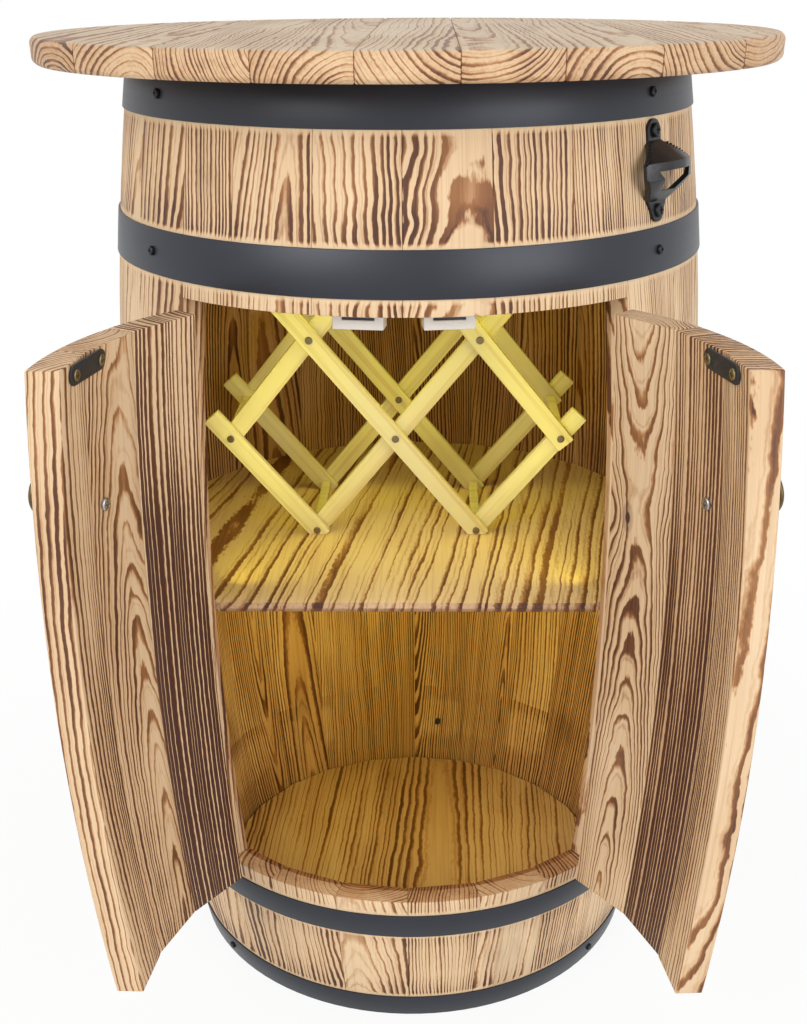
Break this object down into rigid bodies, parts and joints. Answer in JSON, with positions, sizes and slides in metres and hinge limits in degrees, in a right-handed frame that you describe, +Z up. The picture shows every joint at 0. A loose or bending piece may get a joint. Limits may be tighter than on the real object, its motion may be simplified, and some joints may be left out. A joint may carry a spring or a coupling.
{
  "type": "barrel bar cabinet",
  "caption": "Free-standing coopered barrel with a round table top, two curved hinged doors, a shelf, a trellis bottle rack, magnetic catches, lighting tapes and a wall bottle opener.",
  "frame": {"origin": "middle of the floor board's underside, level with the staves' feet, where the cabinet stands on the floor", "axes": "+Z up, -Y out of the doorway, +X to the right of someone who stands in front of the doorway"},
  "size_m": [0.56, 0.6326, 0.8],
  "materials": {
    "spruce_staves": "brushed and flamed",
    "spruce_table": "brushed and flamed",
    "spruce_doors": "brushed and flamed",
    "spruce_boards": "planed",
    "pine_rack": "planed",
    "hoop_steel": "satin",
    "hinge_steel": "satin",
    "strike_steel": "satin",
    "opener_iron": "matt",
    "knob_bronze": "antique",
    "catch_plastic": "smooth",
    "pole_steel": "ground",
    "tape_plastic": "satin",
    "inlet_plastic": "matt"
  },
  "bodies": {
    "barrel": {"back_staves": "spruce_staves", "side_staves_left": "spruce_staves", "side_staves_right": "spruce_staves", "jamb_stave_left": "spruce_staves", "jamb_stave_right": "spruce_staves", "upper_staves_left": "spruce_staves", "upper_staves_right": "spruce_staves", "lower_staves_left": "spruce_staves", "lower_staves_right": "spruce_staves", "table_top": "spruce_table", "floor_board": "spruce_boards", "top_head": "spruce_boards", "shelf": "spruce_boards", "shelf_cleats": "spruce_boards", "rack_front_falling_slats": "pine_rack", "rack_front_rising_slats": "pine_rack", "rack_rear_falling_slats": "pine_rack", "rack_rear_rising_slats": "pine_rack", "rack_spacers": "pine_rack", "hoops": "hoop_steel", "hinge_frame_leaves_left": "hinge_steel", "hinge_frame_leaves_right": "hinge_steel", "bottle_opener": "opener_iron", "catch_left": "catch_plastic", "catch_right": "catch_plastic", "catch_poles": "pole_steel", "led_strip_left": "tape_plastic", "led_strip_right": "tape_plastic", "power_inlet": "inlet_plastic"},
    "left_door": {"door_left_hinge_stave": "spruce_doors", "door_left_middle_stave": "spruce_doors", "door_left_free_stave": "spruce_doors", "strike_left": "strike_steel", "knob_left": "knob_bronze", "hinge_door_leaves_left": "hinge_steel"},
    "right_door": {"door_right_hinge_stave": "spruce_doors", "door_right_middle_stave": "spruce_doors", "door_right_free_stave": "spruce_doors", "strike_right": "strike_steel", "knob_right": "knob_bronze", "hinge_door_leaves_right": "hinge_steel"}
  },
  "joints": [
    {"name": "left_door_hinge", "type": "hinge", "parent": "barrel", "child": "left_door", "pos_m": [-0.16859, -0.18528, 0.376], "axis": [0, 0, 1], "range_deg": [-74, 91]},
    {"name": "right_door_hinge", "type": "hinge", "parent": "barrel", "child": "right_door", "pos_m": [0.16859, -0.18528, 0.376], "axis": [0, 0, 1], "range_deg": [-93, 72]}
  ]
}
